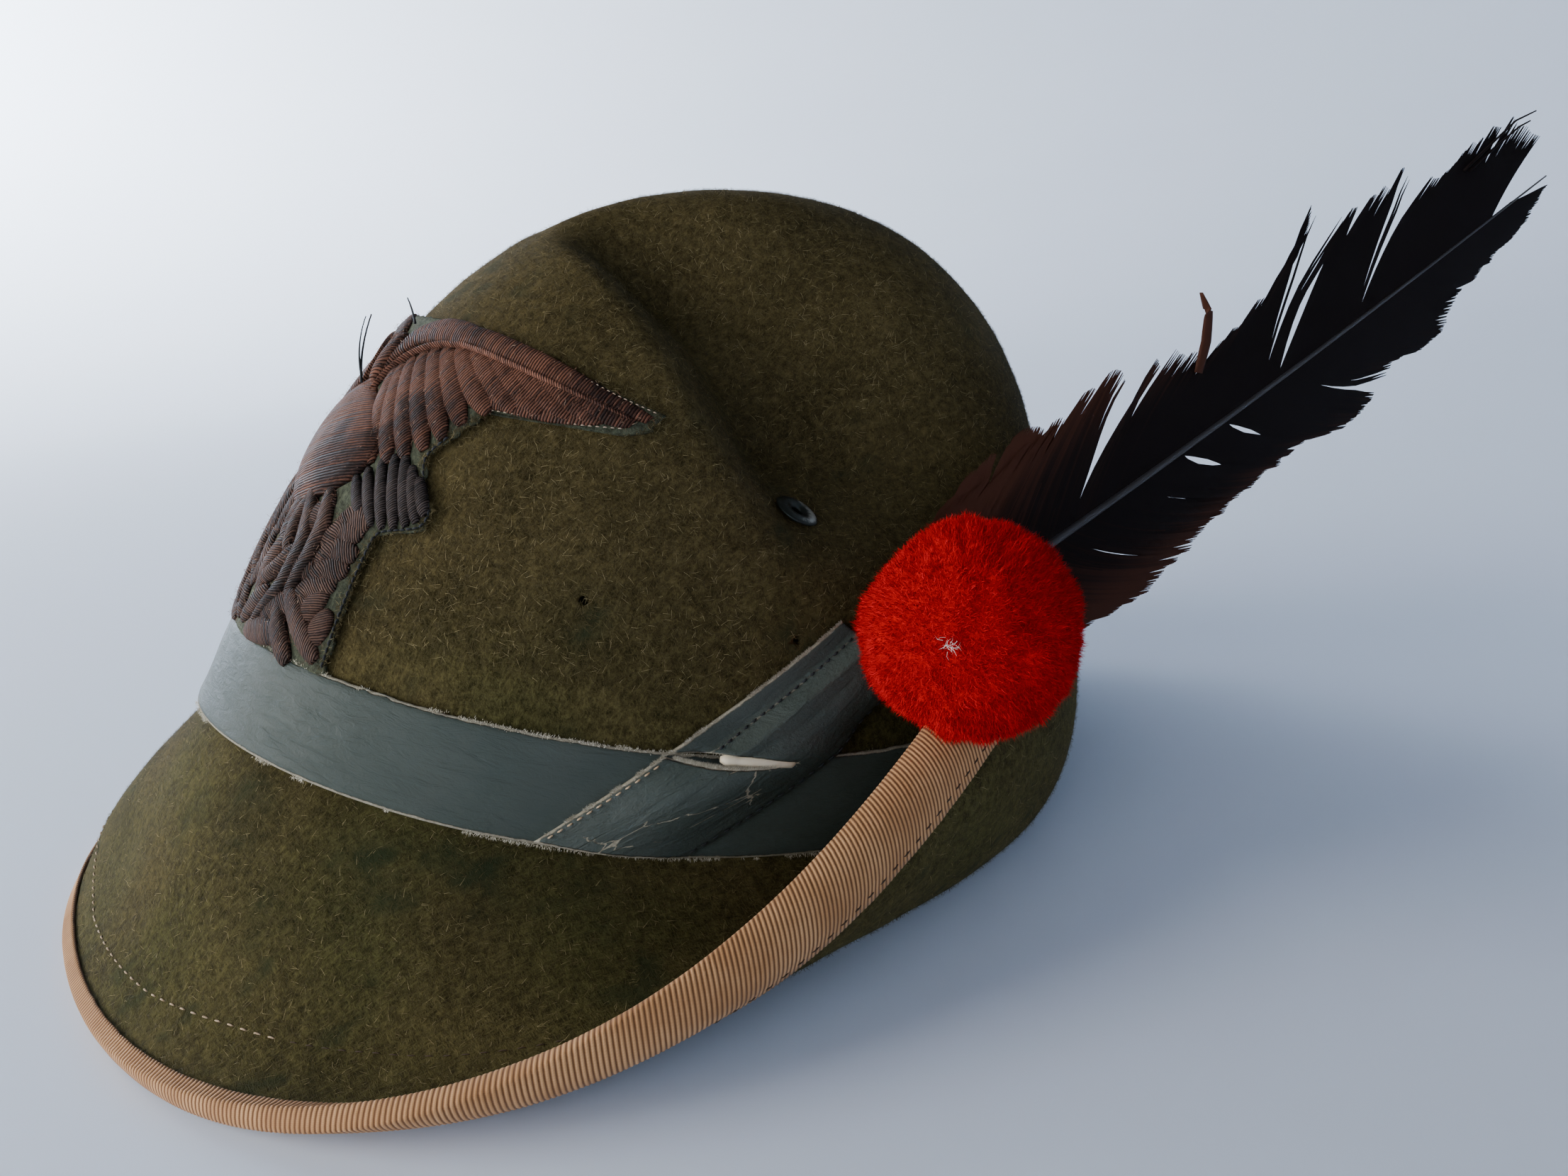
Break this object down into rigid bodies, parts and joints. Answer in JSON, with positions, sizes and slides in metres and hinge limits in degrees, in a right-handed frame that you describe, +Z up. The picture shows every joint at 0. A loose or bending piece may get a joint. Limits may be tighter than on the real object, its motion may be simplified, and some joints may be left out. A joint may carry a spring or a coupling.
{
  "type": "tyrolean hat",
  "caption": "Brushed felt hat with a brim turned up at the back and sides, leather band, stitched badge, red wool pompom and feather.",
  "frame": {"origin": "middle of the bounding box at its lowest level, where the hat rests on a table", "axes": "+Z up, front of the hat towards -Y, wearer's left side, with pompom and feather, towards +X"},
  "size_m": [0.251, 0.3896, 0.1496],
  "materials": {
    "felt": "brushed olive wool felt with short pale hairs",
    "binding": "ribbed tan ribbon",
    "leather": "worn grey green leather, semi gloss",
    "eyelet_metal": "dark enamel, worn pale at the rim",
    "badge_felt": "grey green felt",
    "badge_thread": "copper brown satin stitch",
    "dark_feather": "near black feather with red brown borders",
    "brown_feather": "dark red brown feather",
    "red_wool": "clipped bright red wool"
  },
  "bodies": {
    "root": {"felt_body": "felt", "brim_binding": "binding", "hat_band": "leather", "feather_holder": "leather", "vent_eyelet_left": "eyelet_metal", "vent_eyelet_right": "eyelet_metal", "badge_patch": "badge_felt", "badge_bird": "badge_thread", "feather": "dark_feather", "short_feather": "brown_feather", "pompom": "red_wool"}
  },
  "joints": []
}
